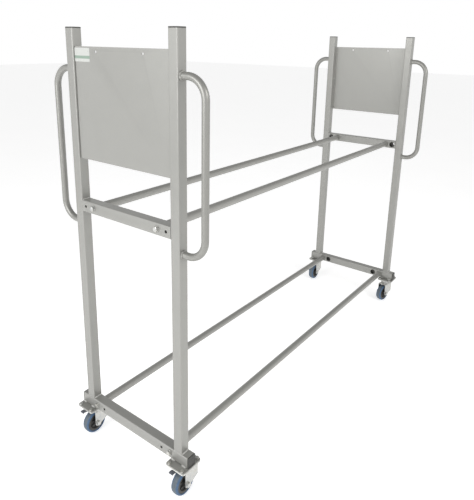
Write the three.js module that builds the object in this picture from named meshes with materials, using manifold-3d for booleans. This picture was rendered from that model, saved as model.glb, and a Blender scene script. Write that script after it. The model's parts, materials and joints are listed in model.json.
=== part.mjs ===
// Mobile tyre storage rack: two welded end frames joined by four round rails, on four castors.
// Millimetres. +Z is up, +X runs along the rack and -X is its front end, with the brakes.
// The origin is on the floor, in the middle of the rack's outline.
import * as THREE from "three";
import { mergeVertices } from "three/addons/utils/BufferGeometryUtils.js";
import Module from "manifold-3d";

// ---- driving dimensions -------------------------------------------------------------------

const RACK_LENGTH = 2050; // over the outer faces of the end frames
const RACK_WIDTH = 540; // over the outer side faces of the uprights
const TOP_CAP_TOP = 1690; // overall height

const TUBE = 40; // uprights are square tube; the beams are as deep as this along the rack
const TUBE_CORNER = 4;
const UPRIGHT_WALL = 2;
const BEAM_HEIGHT = 45;
const BEAM_WALL = 2.5;
const BASE_BEAM_BOTTOM = 139;
const BASE_BEAM_OVERHANG = 32; // past the uprights at each side, with its end cap
const MID_BEAM_BOTTOM = 1018;
const CAP_FLANGE = 4;
const CAP_DEPTH = 18;
const CAP_CLEARANCE = 0.3; // from a cap's plug to the tube wall round it

const PANEL_BOTTOM = 1225;
const PANEL_TOP = 1625;
const PANEL_SHEET = 2;
const PANEL_RECESS = 6; // from the end frame's outer face to the panel
const PANEL_FLANGE = 24;
const PANEL_BEND = 4; // outer radius of its folded edges
const PANEL_HOLE = { radius: 4, y: 115, z: 1608 };
const RIVET = { radius: 5, height: 2.5, depth: 14 }; // depth: from the panel's face to its centre

const RAIL_RADIUS = 16;
const RAIL_WALL = 2;
const RAIL_SOCKET_RADIUS = 16.5;
const RAIL_INSERT = 20; // threaded plug in each rail end
const BOLT = { shank: 5, length: 26, head: 9.8, headHeight: 7, washer: 10.5, washerHeight: 2 };
const BOLT_HOLE_RADIUS = 5.5;
const WIDE_RAIL_Y = 209; // outer pair of rail positions, used by the lower rails
const NARROW_RAIL_Y = 166; // inner pair, used by the upper rails

const HANDLE_RADIUS = 12.5;
const HANDLE_REACH = 92; // from the upright's side face to the grip's centreline
const HANDLE_BEND = 70;
const HANDLE_LOW = 969;
const HANDLE_HIGH = 1548;

const CASTOR_Y = 260;
const SWIVEL_INSET = 22; // swivel axis inboard of the base beam's centreline
const TRAIL = 26; // axle behind the swivel axis
const PAD = { length: 100, width: 91, corner: 10, thickness: 5, boltX: 42, boltY: 32 };
const TOP_PLATE_THICKNESS = 4;
const PLATE_BOLT = { shank: 4, head: 7.5, headHeight: 5.5, hole: 4.4 };
const RACE_RADIUS = 27;
const KING_PIN = { radius: 6, hole: 6.5, nutRadius: 10, nutHeight: 5.5 };
const FORK = { top: 115, sheet: 3, inside: 23.5, front: 30, back: -39, shoulder: 60, tip: 13 };
const WHEEL_RADIUS = 50;
const TYRE_HALF_WIDTH = 16;
const HUB_RADIUS = 36;
const TYRE_CLEARANCE = 0.3; // between the hub and the tyre moulded on it
const AXLE = { radius: 6, hole: 6.3, head: 10.4, headHeight: 8, nutHeight: 10, thread: 3 };
const PEDAL = { pivotX: -30, pivotZ: 105.4, pin: 3, pinHole: 3.4, barrel: 4.5, sheet: 3, reach: 48 };
const PEDAL_SIDES = [2, 22]; // its two edges across the wheel
const PEDAL_RISE = 11; // of its tip above the pivot, with the brake off
const REAR_RIGHT_CASTOR_TURN = THREE.MathUtils.degToRad(-12);

// ---- derived places -----------------------------------------------------------------------

const HALF_LENGTH = RACK_LENGTH / 2;
const HALF_WIDTH = RACK_WIDTH / 2;
const INNER_WIDTH = RACK_WIDTH - 2 * TUBE; // clear width between the uprights
const UPRIGHT_Y = HALF_WIDTH - TUBE / 2;
const BASE_BEAM_TOP = BASE_BEAM_BOTTOM + BEAM_HEIGHT;
const BASE_RAIL_Z = BASE_BEAM_BOTTOM + BEAM_HEIGHT / 2;
const MID_RAIL_Z = MID_BEAM_BOTTOM + BEAM_HEIGHT / 2;
const BASE_TUBE_LENGTH = RACK_WIDTH + 2 * (BASE_BEAM_OVERHANG - CAP_FLANGE);
const PLATE_TOP = BASE_BEAM_BOTTOM - PAD.thickness;
const PLATE_BOTTOM = PLATE_TOP - TOP_PLATE_THICKNESS;
const FORK_OUTSIDE = FORK.inside + FORK.sheet;
const PEDAL_TIP_X = -HALF_LENGTH + TUBE / 2 + SWIVEL_INSET + PEDAL.pivotX - PEDAL.reach;
const REAR_PAD_X = HALF_LENGTH - TUBE / 2 + PAD.length / 2;
const FOOTPRINT_SHIFT = -(PEDAL_TIP_X + REAR_PAD_X) / 2; // puts the origin mid-way along the outline

const ROUND = { rail: 20, wheel: 20, bolt: 12, handle: 12 }; // sides of the round pieces

// ---- materials ----------------------------------------------------------------------------

const finish = (color, roughness, metalness) => ({ color, roughness, metalness });
const SILVER_PAINT = finish(0xb9b9b3, 0.42, 0.35);
const BLACK_PLASTIC = finish(0x2b2b2a, 0.55, 0);
const ZINC = finish(0xc9ccca, 0.35, 0.9);
const HUB_PLASTIC = finish(0x1f1f1f, 0.5, 0);
const BLUE_RUBBER = finish(0x5f83ad, 0.7, 0);
const PEDAL_PAINT = finish(0x2a3140, 0.45, 0.1);

// ---- solids -------------------------------------------------------------------------------

const wasm = await Module();
wasm.setup();

function solid(geometry) {
  const flat = geometry.index ? geometry.toNonIndexed() : geometry;
  const bare = new THREE.BufferGeometry().setAttribute("position", flat.getAttribute("position"));
  const merged = mergeVertices(bare, 1e-3);
  return new wasm.Manifold(
    new wasm.Mesh({
      numProp: 3,
      vertProperties: merged.attributes.position.array,
      triVerts: new Uint32Array(merged.index.array),
    }),
  );
}

function geometryOf(made) {
  const { vertProperties, triVerts } = made.getMesh();
  const geometry = new THREE.BufferGeometry();
  geometry.setAttribute("position", new THREE.BufferAttribute(vertProperties, 3));
  geometry.setIndex(new THREE.BufferAttribute(triVerts, 1));
  geometry.computeVertexNormals();
  return geometry;
}

const joined = (...geometries) => geometries.map(solid).reduce((sum, next) => sum.add(next));
const cutBy = (body, geometries) => geometries.map(solid).reduce((rest, tool) => rest.subtract(tool), body);

// A cylinder from one end to the other along an axis, "x", "y" or "z".
function cylinder(axis, radius, from, to, sides = ROUND.bolt) {
  const geometry = new THREE.CylinderGeometry(radius, radius, to - from, sides);
  geometry.translate(0, (from + to) / 2, 0);
  if (axis === "x") geometry.rotateZ(-Math.PI / 2);
  if (axis === "z") geometry.rotateX(Math.PI / 2);
  return geometry;
}

function roundedRectangle(width, height, radius, path = new THREE.Shape()) {
  const x = width / 2 - radius;
  const y = height / 2 - radius;
  const quarter = Math.PI / 2;
  path.absarc(x, y, radius, 0, quarter);
  path.absarc(-x, y, radius, quarter, 2 * quarter);
  path.absarc(-x, -y, radius, 2 * quarter, 3 * quarter);
  path.absarc(x, -y, radius, 3 * quarter, 4 * quarter);
  path.closePath();
  return path;
}

function extruded(shape, depth, curveSegments = 1) {
  return new THREE.ExtrudeGeometry(shape, { depth, bevelEnabled: false, curveSegments });
}

function rectangularTube(width, height, wall, length) {
  const section = roundedRectangle(width, height, TUBE_CORNER);
  section.holes.push(
    roundedRectangle(width - 2 * wall, height - 2 * wall, TUBE_CORNER - wall, new THREE.Path()),
  );
  return extruded(section, length);
}

// A plug with a flange that closes a tube's end; the flange's inner face is at 0, pointing up.
function tubeCap(width, height, wall) {
  const gap = 2 * (wall + CAP_CLEARANCE);
  const flange = extruded(roundedRectangle(width, height, TUBE_CORNER), CAP_FLANGE);
  const corner = TUBE_CORNER - wall;
  const plug = extruded(roundedRectangle(width - gap, height - gap, corner), CAP_DEPTH + 1);
  return geometryOf(joined(flange, plug.translate(0, 0, -CAP_DEPTH)));
}

// ---- pieces of an end frame ---------------------------------------------------------------
// Each is made in the end frame's own axes: x = 0 is its outer face and +x points into the rack.

const rack = new THREE.Group();

function addMesh(group, name, geometry, look) {
  const mesh = new THREE.Mesh(geometry, new THREE.MeshStandardMaterial(look));
  mesh.name = name;
  group.add(mesh);
  return mesh;
}

// Turns a section drawn across x and y, and extruded up z, to run along +y.
const laidAlongY = (geometry) => geometry.rotateX(-Math.PI / 2);

function beam(length, bottom) {
  const middle = bottom + BEAM_HEIGHT / 2;
  const tube = laidAlongY(rectangularTube(TUBE, BEAM_HEIGHT, BEAM_WALL, length));
  tube.translate(TUBE / 2, -length / 2, middle);
  const holes = [];
  for (const y of [-WIDE_RAIL_Y, -NARROW_RAIL_Y, NARROW_RAIL_Y, WIDE_RAIL_Y]) {
    const boltHole = cylinder("x", BOLT_HOLE_RADIUS, -1, TUBE / 2, ROUND.bolt);
    const socket = cylinder("x", RAIL_SOCKET_RADIUS, TUBE / 2, TUBE + 1, ROUND.rail);
    holes.push(boltHole.translate(0, y, middle), socket.translate(0, y, middle));
  }
  return geometryOf(cutBy(solid(tube), holes));
}

function endPanel() {
  const half = INNER_WIDTH / 2;
  const inner = PANEL_BEND - PANEL_SHEET;
  const face = PANEL_RECESS;
  const bend = face + PANEL_BEND;
  const edge = face + PANEL_FLANGE;
  const section = new THREE.Shape();
  section.moveTo(edge, -half);
  section.lineTo(edge, -half + PANEL_SHEET);
  section.absarc(bend, -half + PANEL_BEND, inner, -Math.PI / 2, Math.PI, true);
  section.absarc(bend, half - PANEL_BEND, inner, Math.PI, Math.PI / 2, true);
  section.lineTo(edge, half - PANEL_SHEET);
  section.lineTo(edge, half);
  section.absarc(bend, half - PANEL_BEND, PANEL_BEND, Math.PI / 2, Math.PI);
  section.absarc(bend, -half + PANEL_BEND, PANEL_BEND, Math.PI, 1.5 * Math.PI);
  section.closePath();
  const sheet = extruded(section, PANEL_TOP - PANEL_BOTTOM).translate(0, 0, PANEL_BOTTOM);
  const rivets = [-1, 1].map((side) => {
    const head = half - PANEL_SHEET;
    const ends = [side * head, side * (head - RIVET.height)].sort((a, b) => a - b);
    const rivet = cylinder("y", RIVET.radius, ends[0], ends[1], 8);
    return rivet.translate(face + RIVET.depth, 0, (PANEL_BOTTOM + PANEL_TOP) / 2);
  });
  const holes = [-1, 1].map((side) =>
    cylinder("x", PANEL_HOLE.radius, 0, bend).translate(0, side * PANEL_HOLE.y, PANEL_HOLE.z),
  );
  return geometryOf(cutBy(joined(sheet, ...rivets), holes));
}

// A curve through stations, each with a place and a direction, so that a bend has steps of its
// own and a straight has none.
class StationCurve extends THREE.Curve {
  constructor(stations) {
    super();
    this.stations = stations;
  }
  at(u) {
    return this.stations[Math.round(u * (this.stations.length - 1))];
  }
  getPointAt(u) {
    return this.at(u).place.clone();
  }
  getTangentAt(u) {
    return this.at(u).direction.clone();
  }
  getSpacedPoints() {
    return this.stations.map((station) => station.place.clone());
  }
}

// A D handle on the side face of an upright: side is -1 or 1 across the rack.
function handle(side) {
  const steps = 5;
  const root = HALF_WIDTH;
  const grip = HALF_WIDTH + HANDLE_REACH;
  const station = (y, z, angle) => ({
    place: new THREE.Vector3(TUBE / 2, side * y, z),
    direction: new THREE.Vector3(0, side * Math.cos(angle), Math.sin(angle)),
  });
  const bend = (centreZ, startAngle) =>
    Array.from({ length: steps + 1 }, (_, i) => {
      const angle = startAngle + (i / steps) * (Math.PI / 2);
      const y = grip - HANDLE_BEND + HANDLE_BEND * Math.sin(angle);
      return station(y, centreZ - HANDLE_BEND * Math.cos(angle), angle);
    });
  const stations = [
    station(root, HANDLE_LOW, 0),
    ...bend(HANDLE_LOW + HANDLE_BEND, 0),
    ...bend(HANDLE_HIGH - HANDLE_BEND, Math.PI / 2),
    station(root, HANDLE_HIGH, Math.PI),
  ];
  const section = new THREE.Shape().absarc(0, 0, HANDLE_RADIUS, 0, 2 * Math.PI);
  return new THREE.ExtrudeGeometry(section, {
    extrudePath: new StationCurve(stations),
    steps: stations.length - 1,
    curveSegments: ROUND.handle / 2,
    bevelEnabled: false,
  });
}

// A hexagon bolt and washer that holds a rail from outside.
function railBolt() {
  const head = cylinder("x", BOLT.head, -BOLT.washerHeight - BOLT.headHeight, -BOLT.washerHeight, 6);
  const washer = cylinder("x", BOLT.washer, -BOLT.washerHeight, 0);
  const shank = cylinder("x", BOLT.shank, -1, BOLT.length);
  return geometryOf(joined(head, washer, shank));
}

function addEndFrame(end, turn) {
  const frame = new THREE.Group();
  frame.position.x = (turn ? 1 : -1) * HALF_LENGTH;
  frame.rotation.z = turn;
  rack.add(frame);
  const sides = turn ? { left: -1, right: 1 } : { left: 1, right: -1 };

  addMesh(frame, `${end}_base_beam`, beam(BASE_TUBE_LENGTH, BASE_BEAM_BOTTOM), SILVER_PAINT);
  addMesh(frame, `${end}_mid_beam`, beam(INNER_WIDTH, MID_BEAM_BOTTOM), SILVER_PAINT);
  addMesh(frame, `${end}_end_panel`, endPanel(), SILVER_PAINT);

  for (const [side, sign] of Object.entries(sides)) {
    const place = `${end}_${side}`;
    const length = TOP_CAP_TOP - CAP_FLANGE - BASE_BEAM_TOP;
    const upright = addMesh(
      frame,
      `${place}_upright`,
      rectangularTube(TUBE, TUBE, UPRIGHT_WALL, length),
      SILVER_PAINT,
    );
    upright.position.set(TUBE / 2, sign * UPRIGHT_Y, BASE_BEAM_TOP);

    const topCap = addMesh(frame, `${place}_top_cap`, tubeCap(TUBE, TUBE, UPRIGHT_WALL), BLACK_PLASTIC);
    topCap.position.set(TUBE / 2, sign * UPRIGHT_Y, TOP_CAP_TOP - CAP_FLANGE);

    const endCap = laidAlongY(tubeCap(TUBE, BEAM_HEIGHT, BEAM_WALL));
    if (sign < 0) endCap.rotateZ(Math.PI);
    endCap.translate(TUBE / 2, (sign * BASE_TUBE_LENGTH) / 2, BASE_RAIL_Z);
    addMesh(frame, `${place}_base_cap`, endCap, BLACK_PLASTIC);

    addMesh(frame, `${place}_handle`, handle(sign), SILVER_PAINT);
    for (const [level, y, z] of [
      ["lower", WIDE_RAIL_Y, BASE_RAIL_Z],
      ["upper", NARROW_RAIL_Y, MID_RAIL_Z],
    ]) {
      const bolt = addMesh(frame, `${place}_${level}_rail_bolt`, railBolt(), ZINC);
      bolt.position.set(0, sign * y, z);
    }
  }
}

// ---- rails --------------------------------------------------------------------------------

// A round tube along x with a threaded plug in each end.
function rail() {
  const half = HALF_LENGTH - BEAM_WALL;
  const bore = RAIL_RADIUS - RAIL_WALL;
  const thread = BOLT_HOLE_RADIUS;
  const profile = [
    [thread, -half],
    [RAIL_RADIUS, -half],
    [RAIL_RADIUS, half],
    [thread, half],
    [thread, half - RAIL_INSERT],
    [bore, half - RAIL_INSERT],
    [bore, RAIL_INSERT - half],
    [thread, RAIL_INSERT - half],
    [thread, -half],
  ];
  return turned(profile, ROUND.rail).rotateZ(-Math.PI / 2);
}

// A closed profile of [radius, height] points turned round the y axis.
function turned(profile, sides) {
  return new THREE.LatheGeometry(profile.map(([r, y]) => new THREE.Vector2(r, y)), sides);
}

function addRails() {
  for (const [side, sign] of [["left", 1], ["right", -1]]) {
    const lower = addMesh(rack, `lower_${side}_rail`, rail(), SILVER_PAINT);
    lower.position.set(0, sign * WIDE_RAIL_Y, BASE_RAIL_Z);
    const upper = addMesh(rack, `upper_${side}_rail`, rail(), SILVER_PAINT);
    upper.position.set(0, sign * NARROW_RAIL_Y, MID_RAIL_Z);
  }
}

// ---- castors ------------------------------------------------------------------------------
// Each is made with its swivel axis at x = 0, y = 0 and the floor at z = 0, trailing to -x.

const plateBoltPlaces = [-1, 1].flatMap((i) => [-1, 1].map((j) => [i * PAD.boltX, j * PAD.boltY]));

function padOutline(thickness) {
  return extruded(roundedRectangle(PAD.length, PAD.width, PAD.corner), thickness, 2);
}

// The steel pad welded under the base beam.
function castorPad() {
  const plate = padOutline(PAD.thickness).translate(0, 0, PLATE_TOP);
  const holes = plateBoltPlaces.map(([x, y]) =>
    cylinder("z", PLATE_BOLT.hole, PLATE_TOP - 1, BASE_BEAM_BOTTOM + 1, 6).translate(x, y, 0),
  );
  return geometryOf(cutBy(solid(plate), holes));
}

// The castor's top plate with its bolts, upper ball race, king pin and nut; swivelX is the
// swivel axis measured from the middle of the plate.
function castorPlate(swivelX) {
  const plate = padOutline(TOP_PLATE_THICKNESS).translate(0, 0, PLATE_BOTTOM);
  const bolts = plateBoltPlaces.flatMap(([x, y]) => {
    const headTop = BASE_BEAM_BOTTOM + PLATE_BOLT.headHeight;
    const shank = cylinder("z", PLATE_BOLT.shank, PLATE_TOP - 1, headTop - 1, 6);
    const head = cylinder("z", PLATE_BOLT.head, BASE_BEAM_BOTTOM, headTop, 6);
    return [shank.translate(x, y, 0), head.translate(x, y, 0)];
  });
  const raceBottom = FORK.top + 6;
  const race = cylinder("z", RACE_RADIUS, raceBottom, PLATE_BOTTOM + 1, ROUND.rail);
  const nutTop = FORK.top - FORK.sheet - 0.5;
  const pin = cylinder("z", KING_PIN.radius, nutTop - 1, PLATE_BOTTOM);
  const nut = cylinder("z", KING_PIN.nutRadius, nutTop - KING_PIN.nutHeight, nutTop, 6);
  const head = [race, pin, nut].map((piece) => piece.translate(swivelX, 0, 0));
  return geometryOf(joined(plate, ...bolts, ...head));
}

function forkLeg() {
  const outline = new THREE.Shape();
  outline.moveTo(FORK.back, FORK.top);
  outline.lineTo(FORK.back, WHEEL_RADIUS);
  outline.absarc(-TRAIL, WHEEL_RADIUS, FORK.tip, Math.PI, 1.67 * Math.PI);
  outline.lineTo(FORK.front, FORK.shoulder);
  outline.lineTo(FORK.front, FORK.top);
  outline.closePath();
  // The outline is drawn across x and z, so the sheet's thickness ends up along y.
  return extruded(outline, FORK.sheet, 3).rotateX(Math.PI / 2);
}

function castorFork(braked) {
  const legs = [FORK_OUTSIDE, -FORK.inside].map((y) => forkLeg().translate(0, y, 0));
  const crown = new THREE.BoxGeometry(FORK.front - FORK.back, 2 * FORK_OUTSIDE, FORK.sheet);
  crown.translate((FORK.front + FORK.back) / 2, 0, FORK.top - FORK.sheet / 2);
  const lowerRace = cylinder("z", RACE_RADIUS, FORK.top - 1, FORK.top + 5, ROUND.rail);
  const across = FORK_OUTSIDE + 1;
  const tools = [
    cylinder("z", KING_PIN.hole, 0, FORK.top + 10),
    cylinder("y", AXLE.hole, -across, across).translate(-TRAIL, 0, WHEEL_RADIUS),
  ];
  if (braked) {
    tools.push(
      cylinder("y", PEDAL.pinHole, -across, across, 8).translate(PEDAL.pivotX, 0, PEDAL.pivotZ),
    );
  }
  return geometryOf(cutBy(joined(crown, ...legs, lowerRace), tools));
}

function wheelHub() {
  const profile = [
    [AXLE.hole, -22],
    [13, -22],
    [15, -10],
    [HUB_RADIUS, -15],
    [HUB_RADIUS, 15],
    [15, 10],
    [13, 22],
    [AXLE.hole, 22],
    [AXLE.hole, -22],
  ];
  return turned(profile, ROUND.wheel);
}

function wheelTyre() {
  const bore = HUB_RADIUS + TYRE_CLEARANCE;
  const profile = [
    [bore, -15],
    [WHEEL_RADIUS - 4, -TYRE_HALF_WIDTH],
    [WHEEL_RADIUS - 0.8, -11],
    [WHEEL_RADIUS, 0],
    [WHEEL_RADIUS - 0.8, 11],
    [WHEEL_RADIUS - 4, TYRE_HALF_WIDTH],
    [bore, 15],
    [bore, -15],
  ];
  return turned(profile, ROUND.wheel);
}

// The axle bolt with its nut, clamped on the outside of the fork legs.
function axleBolt() {
  const nutEnd = FORK_OUTSIDE + AXLE.nutHeight;
  const shank = cylinder("y", AXLE.radius, -FORK_OUTSIDE - 1, nutEnd + AXLE.thread);
  const head = cylinder("y", AXLE.head, -FORK_OUTSIDE - AXLE.headHeight, -FORK_OUTSIDE, 6);
  const nut = cylinder("y", AXLE.head, FORK_OUTSIDE, nutEnd, 6);
  return geometryOf(joined(shank, head, nut));
}

// The brake pedal on its cross pin, in its own axes with the pin at the origin.
function brakePedal() {
  const pin = cylinder("y", PEDAL.pin, -FORK_OUTSIDE - 3, FORK_OUTSIDE + 3, 8);
  const barrel = cylinder("y", PEDAL.barrel, -FORK.inside + 1, FORK.inside - 1, 8);
  const arm = new THREE.Shape();
  arm.moveTo(0, PEDAL.sheet / 2);
  arm.lineTo(-PEDAL.reach + 12, PEDAL_RISE);
  arm.lineTo(-PEDAL.reach, PEDAL_RISE - 1);
  arm.lineTo(-PEDAL.reach, PEDAL_RISE - 1 - PEDAL.sheet);
  arm.lineTo(-PEDAL.reach + 12, PEDAL_RISE - PEDAL.sheet);
  arm.lineTo(0, -PEDAL.sheet / 2);
  arm.closePath();
  const plate = extruded(arm, PEDAL_SIDES[1] - PEDAL_SIDES[0]).rotateX(Math.PI / 2);
  return geometryOf(joined(pin, barrel, plate.translate(0, PEDAL_SIDES[1], 0)));
}

function addCastor(end, side, turn) {
  const place = `${end}_${side}`;
  const outward = end === "front" ? -1 : 1;
  const braked = end === "front";
  const y = (side === "left" ? 1 : -1) * CASTOR_Y;
  const beamX = outward * (HALF_LENGTH - TUBE / 2);

  addMesh(rack, `${place}_castor_pad`, castorPad(), SILVER_PAINT).position.set(beamX, y, 0);
  const plate = addMesh(rack, `${place}_castor_plate`, castorPlate(-outward * SWIVEL_INSET), ZINC);
  plate.position.set(beamX, y, 0);

  const castor = new THREE.Group();
  castor.position.set(beamX - outward * SWIVEL_INSET, y, 0);
  castor.rotation.z = turn;
  rack.add(castor);
  addMesh(castor, `${place}_castor_fork`, castorFork(braked), ZINC);
  addMesh(castor, `${place}_wheel_hub`, wheelHub(), HUB_PLASTIC);
  addMesh(castor, `${place}_wheel_tyre`, wheelTyre(), BLUE_RUBBER);
  addMesh(castor, `${place}_axle_bolt`, axleBolt(), ZINC);
  for (const piece of castor.children.slice(1)) piece.position.set(-TRAIL, 0, WHEEL_RADIUS);
  if (braked) {
    const pedal = addMesh(castor, `${place}_brake_pedal`, brakePedal(), PEDAL_PAINT);
    pedal.position.set(PEDAL.pivotX, 0, PEDAL.pivotZ);
  }
}

// ---- assembly -----------------------------------------------------------------------------

addEndFrame("front", 0);
addEndFrame("rear", Math.PI);
addRails();
addCastor("front", "left", 0);
addCastor("front", "right", 0);
addCastor("rear", "left", 0);
addCastor("rear", "right", REAR_RIGHT_CASTOR_TURN);
rack.position.x = FOOTPRINT_SHIFT;

export default rack;
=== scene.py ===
"""A mobile tyre storage rack: its visible surfaces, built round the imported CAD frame. Metres, +Z up."""

import json
import math

import bmesh
import bpy
from mathutils import Matrix, Vector, noise


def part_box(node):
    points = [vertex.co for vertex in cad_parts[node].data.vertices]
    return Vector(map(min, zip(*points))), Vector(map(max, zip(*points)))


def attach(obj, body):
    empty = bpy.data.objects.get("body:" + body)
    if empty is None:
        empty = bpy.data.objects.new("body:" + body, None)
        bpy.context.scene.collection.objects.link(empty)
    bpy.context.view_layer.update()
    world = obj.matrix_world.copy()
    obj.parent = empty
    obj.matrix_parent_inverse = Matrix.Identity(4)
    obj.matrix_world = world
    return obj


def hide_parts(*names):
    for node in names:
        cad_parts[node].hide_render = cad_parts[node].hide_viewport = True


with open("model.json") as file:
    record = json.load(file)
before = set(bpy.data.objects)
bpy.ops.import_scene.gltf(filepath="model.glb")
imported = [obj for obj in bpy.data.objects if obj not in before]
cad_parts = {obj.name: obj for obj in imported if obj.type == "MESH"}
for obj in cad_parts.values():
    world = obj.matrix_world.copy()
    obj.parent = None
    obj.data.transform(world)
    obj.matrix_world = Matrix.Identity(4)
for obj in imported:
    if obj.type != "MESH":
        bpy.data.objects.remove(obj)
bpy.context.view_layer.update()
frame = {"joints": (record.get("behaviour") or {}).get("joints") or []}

JOINTS = {joint["name"]: joint for joint in frame["joints"]}
MM = 0.001
ENDS = {"front": -1, "rear": 1}  # which way each end frame's outer face looks along x
SIDES = {"left": 1, "right": -1}  # which way each side lies along y

# The sections and radii that a node's box doesn't give.
TUBE_CORNER = 4 * MM
UPRIGHT_WALL = 2 * MM
BEAM_WALL = 2.5 * MM
PANEL_SHEET = 2 * MM
PANEL_BEND = 4 * MM
PANEL_HOLE_RADIUS = 4 * MM
PANEL_HOLE_Y = 115 * MM
PANEL_HOLE_DROP = 17 * MM  # below the panel's top edge
PANEL_RIVET_SETBACK = 14 * MM  # behind the panel's face
LABEL_WIDTH, LABEL_HEIGHT = 81 * MM, 47 * MM
LABEL_DROP = 5 * MM  # of its top edge, below the panel's
LABEL_Y = 188.5 * MM
CAP_FLANGE = 4 * MM
BOLT_HOLE_RADIUS = 5.5 * MM
SOCKET_RADIUS = 16.5 * MM
RAIL_WALL = 2 * MM
RAIL_INSERT = 20 * MM
RAIL_BOLT_RADIUS = 5 * MM
RAIL_BOLT_REACH = 26 * MM  # from its seat into the rail
RAIL_BOLT_WASHER = 2 * MM
RAIL_BOLT_HEAD = 7 * MM
HANDLE_BEND = 70 * MM
HANDLE_STEPS = 20  # mesh steps in each of a handle's bends
PAD_CORNER = 10 * MM
PLATE_THICKNESS = 4 * MM
PLATE_BOLT_WASHER = 1.2 * MM
PLATE_BOLT_TOP = 5.5 * MM  # above the pad
PAD_BOLT_X, PAD_BOLT_Y = 42 * MM, 32 * MM
PLATE_BOLT_FLATS = 12.6 * MM
RAIL_BOLT_FLATS = 17 * MM
AXLE_FLATS = 18 * MM
KING_PIN_FLATS = 17.3 * MM
KING_PIN_RADIUS = 6 * MM
KING_PIN_LOW, KING_PIN_NUT, KING_PIN_HIGH = 106 * MM, 111.5 * MM, 124 * MM
SWIVEL_TO_AXLE = 26 * MM
FORK_INSIDE = 23.5 * MM
FORK_SHEET = 3 * MM
FORK_OUTSIDE = FORK_INSIDE + FORK_SHEET
FORK_BEND = 7 * MM
FORK_TOP = 115 * MM
FORK_FRONT, FORK_BACK = 30 * MM, -39 * MM
FORK_FRONT_LOW = 60 * MM
FORK_TIP_RADIUS = 13 * MM
AXLE_RADIUS = 6 * MM
AXLE_HEIGHT = 50 * MM
WHEEL_RIBS = 6
PEDAL_PIVOT_X, PEDAL_PIVOT_Z = -30 * MM, 105.4 * MM  # from the swivel axis, and above the floor
PEDAL_SIDES = (2 * MM, 22 * MM)
PEDAL_HALF_SHEET = 1.3  # millimetres, as its outline is
PEDAL_REACH = 48.0
ORIGIN = (0, 0, 0)
RIPPLE_STEPS = 4  # mesh steps in each ripple of a weld bead
SHARP_ANGLE = math.radians(28)  # edges at least this sharp stay crisp

# ---- mesh making --------------------------------------------------------------------------


def on_axis(axis, u, v, w):
    """The point at height w along an axis, with u and v across it in x, y, z order."""
    return {"x": (w, u, v), "y": (u, w, v), "z": (u, v, w)}[axis]


def loft(bm, loops, closed=False):
    """Skins loops of points in turn; the last joins the first, or both ends get a cap."""
    rings = [[bm.verts.new(p) for p in loop] for loop in loops]
    count = len(rings[0])
    for a, b in zip(rings, rings[1:] + rings[:1] if closed else rings[1:]):
        for i in range(count):
            j = (i + 1) % count
            bm.faces.new((a[i], a[j], b[j], b[i]))
    if not closed:
        bm.faces.new(rings[0])
        bm.faces.new(rings[-1])


def rounded(width, height, radius, steps=6):
    """The outline of a rounded rectangle about the origin."""
    points = []
    for k, (sx, sy) in enumerate([(1, 1), (-1, 1), (-1, -1), (1, -1)]):
        for i in range(steps + 1):
            t = (k + i / steps) * math.pi / 2
            points.append((
                sx * (width / 2 - radius) + radius * math.cos(t),
                sy * (height / 2 - radius) + radius * math.sin(t),
            ))
    return points


def circle(radius, count):
    """The outline of a circle about the origin."""
    turns = [2 * math.pi * i / count for i in range(count)]
    return [(radius * math.cos(t), radius * math.sin(t)) for t in turns]


def prism(bm, outline, inset, axis, low, high, centre, edge):
    """An outline carried along an axis with small chamfers; inset is the outline cut back by edge."""
    loops = [(inset, low), (outline, low + edge), (outline, high - edge), (inset, high)]
    loft(bm, [
        [Vector(on_axis(axis, u, v, w)) + Vector(centre) for u, v in points]
        for points, w in loops
    ])


def cylinder(bm, radius, axis, low, high, centre=ORIGIN, count=40, edge=0.0):
    """A cylinder along an axis, with chamfered rims."""
    rims = circle(radius, count), circle(radius - edge, count)
    if edge:
        prism(bm, rims[0], rims[1], axis, low, high, centre, edge)
    else:
        loft(bm, [
            [Vector(on_axis(axis, u, v, w)) + Vector(centre) for u, v in rims[0]]
            for w in (low, high)
        ])


def lathe(bm, profile, axis, centre, count, closed=True):
    """A profile of (radius, height) points turned round an axis."""
    loft(bm, [
        [Vector(on_axis(axis, u, v, h)) + Vector(centre) for u, v in circle(r, count)]
        for r, h in profile
    ], closed)


def turned(bm, profile, axis, centre, count, seat=0.0, way=1, closed=True):
    """Lathes a profile in millimetres, its heights starting at seat and going way (1 or -1)."""
    lathe(bm, [(r * MM, seat + way * h * MM) for r, h in profile], axis, centre, count, closed)


def box_tube(bm, size, corner, wall, axis, low, high, centre, edge=0.4 * MM):
    """A rectangular tube along an axis, its cut ends slightly broken."""
    width, height = size
    outer = rounded(width, height, corner)
    broken = rounded(width - 2 * edge, height - 2 * edge, corner - edge)
    bore = rounded(width - 2 * wall, height - 2 * wall, corner - wall)
    loops = [(broken, low), (outer, low + edge), (outer, high - edge), (broken, high)]
    loops += [(bore, high), (bore, low)]
    loft(bm, [
        [Vector(on_axis(axis, u, v, w)) + Vector(centre) for u, v in points]
        for points, w in loops
    ], closed=True)


def hexagon_head(bm, flats, axis, base, top, centre):
    """A hexagon head or nut from its seat at base to its chamfered face at top."""
    count, rim = 48, flats * 0.475
    side = count // 6
    reach = []
    for i in range(count):
        t = (i % side) / side * math.pi / 3 - math.pi / 6
        reach.append(flats / 2 / math.cos(t))
    up = 1 if top > base else -1
    angles = [2 * math.pi * i / count for i in range(count)]

    def loop(radii, heights):
        return [
            Vector(on_axis(axis, r * math.cos(t), r * math.sin(t), h)) + Vector(centre)
            for r, t, h in zip(radii, angles, heights)
        ]

    slope = math.tan(math.radians(30))
    shoulder = [top - up * (r - rim) * slope for r in reach]
    flat = [rim] * count
    loft(bm, [
        loop(reach, [base] * count),
        loop(reach, shoulder),
        loop(flat, [top] * count),
        loop([rim * 0.55] * count, [top - up * 0.25 * MM] * count),
    ])


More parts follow.
